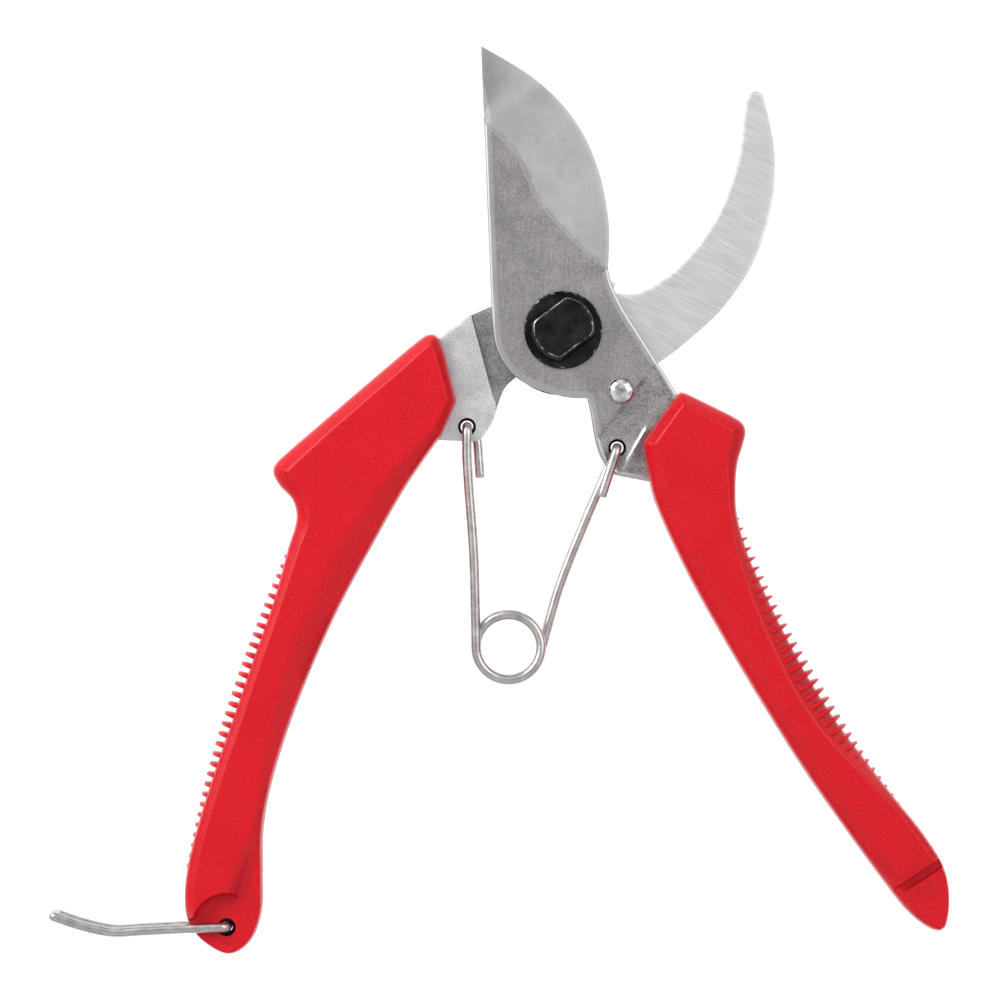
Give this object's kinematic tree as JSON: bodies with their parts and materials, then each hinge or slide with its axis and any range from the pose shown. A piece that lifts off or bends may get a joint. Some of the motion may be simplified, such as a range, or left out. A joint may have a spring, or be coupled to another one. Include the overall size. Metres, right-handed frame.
{
  "type": "pruning shears",
  "caption": "One-hand bypass pruning shears with red plastic grips, a coil return spring and a wire catch, stored open.",
  "frame": {"origin": "on the pivot axis, at the end face of the pivot bolt, level with the backs of the grips", "axes": "+Z out of the front face along the pivot axis, +Y from the pivot up along the blades, +X towards the hook"},
  "size_m": [0.1797, 0.1816, 0.016],
  "materials": {
    "ground_steel": "ground, with a smoother bevel",
    "satin_steel": "fine brushed",
    "black_oxide": "black oxide, worn at the edges",
    "bright_steel": "polished",
    "spring_steel": "drawn wire",
    "red_plastic": "satin gloss with a fine grain"
  },
  "bodies": {
    "cutting_half": {"cutting_blade": "ground_steel", "right_grip": "red_plastic", "stop_rivet": "bright_steel", "pivot_bolt": "black_oxide", "front_washer": "black_oxide", "rear_washer": "spring_steel", "pivot_nut": "black_oxide"},
    "hook_half": {"counter_blade": "satin_steel", "left_grip": "red_plastic"},
    "spring_right_leg": {"spring_back": "spring_steel"},
    "spring_left_leg": {"spring_front": "spring_steel"},
    "catch": {"catch_wire": "spring_steel"}
  },
  "joints": [
    {"name": "blade_pivot", "type": "hinge", "parent": "cutting_half", "child": "hook_half", "pos_m": [0, 0, 0.0075], "axis": [0, 0, 1], "range_deg": [0, 52], "stiffness_Nm_per_rad": 0.6, "springref_deg": -20.05},
    {"name": "spring_right_hinge", "type": "hinge", "parent": "cutting_half", "child": "spring_right_leg", "pos_m": [0.0108, -0.0235, 0.0075], "axis": [0, 0, 1], "range_deg": [0, 44.88]},
    {"name": "coil_hinge", "type": "hinge", "parent": "spring_right_leg", "child": "spring_left_leg", "pos_m": [-0.0109, -0.0633, 0.0075], "axis": [0, 0, 1], "range_deg": [-28.86, 0]},
    {"name": "catch_hinge", "type": "hinge", "parent": "hook_half", "child": "catch", "pos_m": [-0.0671, -0.1191, 0.0075], "axis": [0, 0, 1], "range_deg": [0, 172]}
  ],
  "couplings": [
    {"joint": "spring_right_hinge", "follows": "blade_pivot", "ratio": 0.863},
    {"joint": "coil_hinge", "follows": "blade_pivot", "ratio": -0.555}
  ]
}
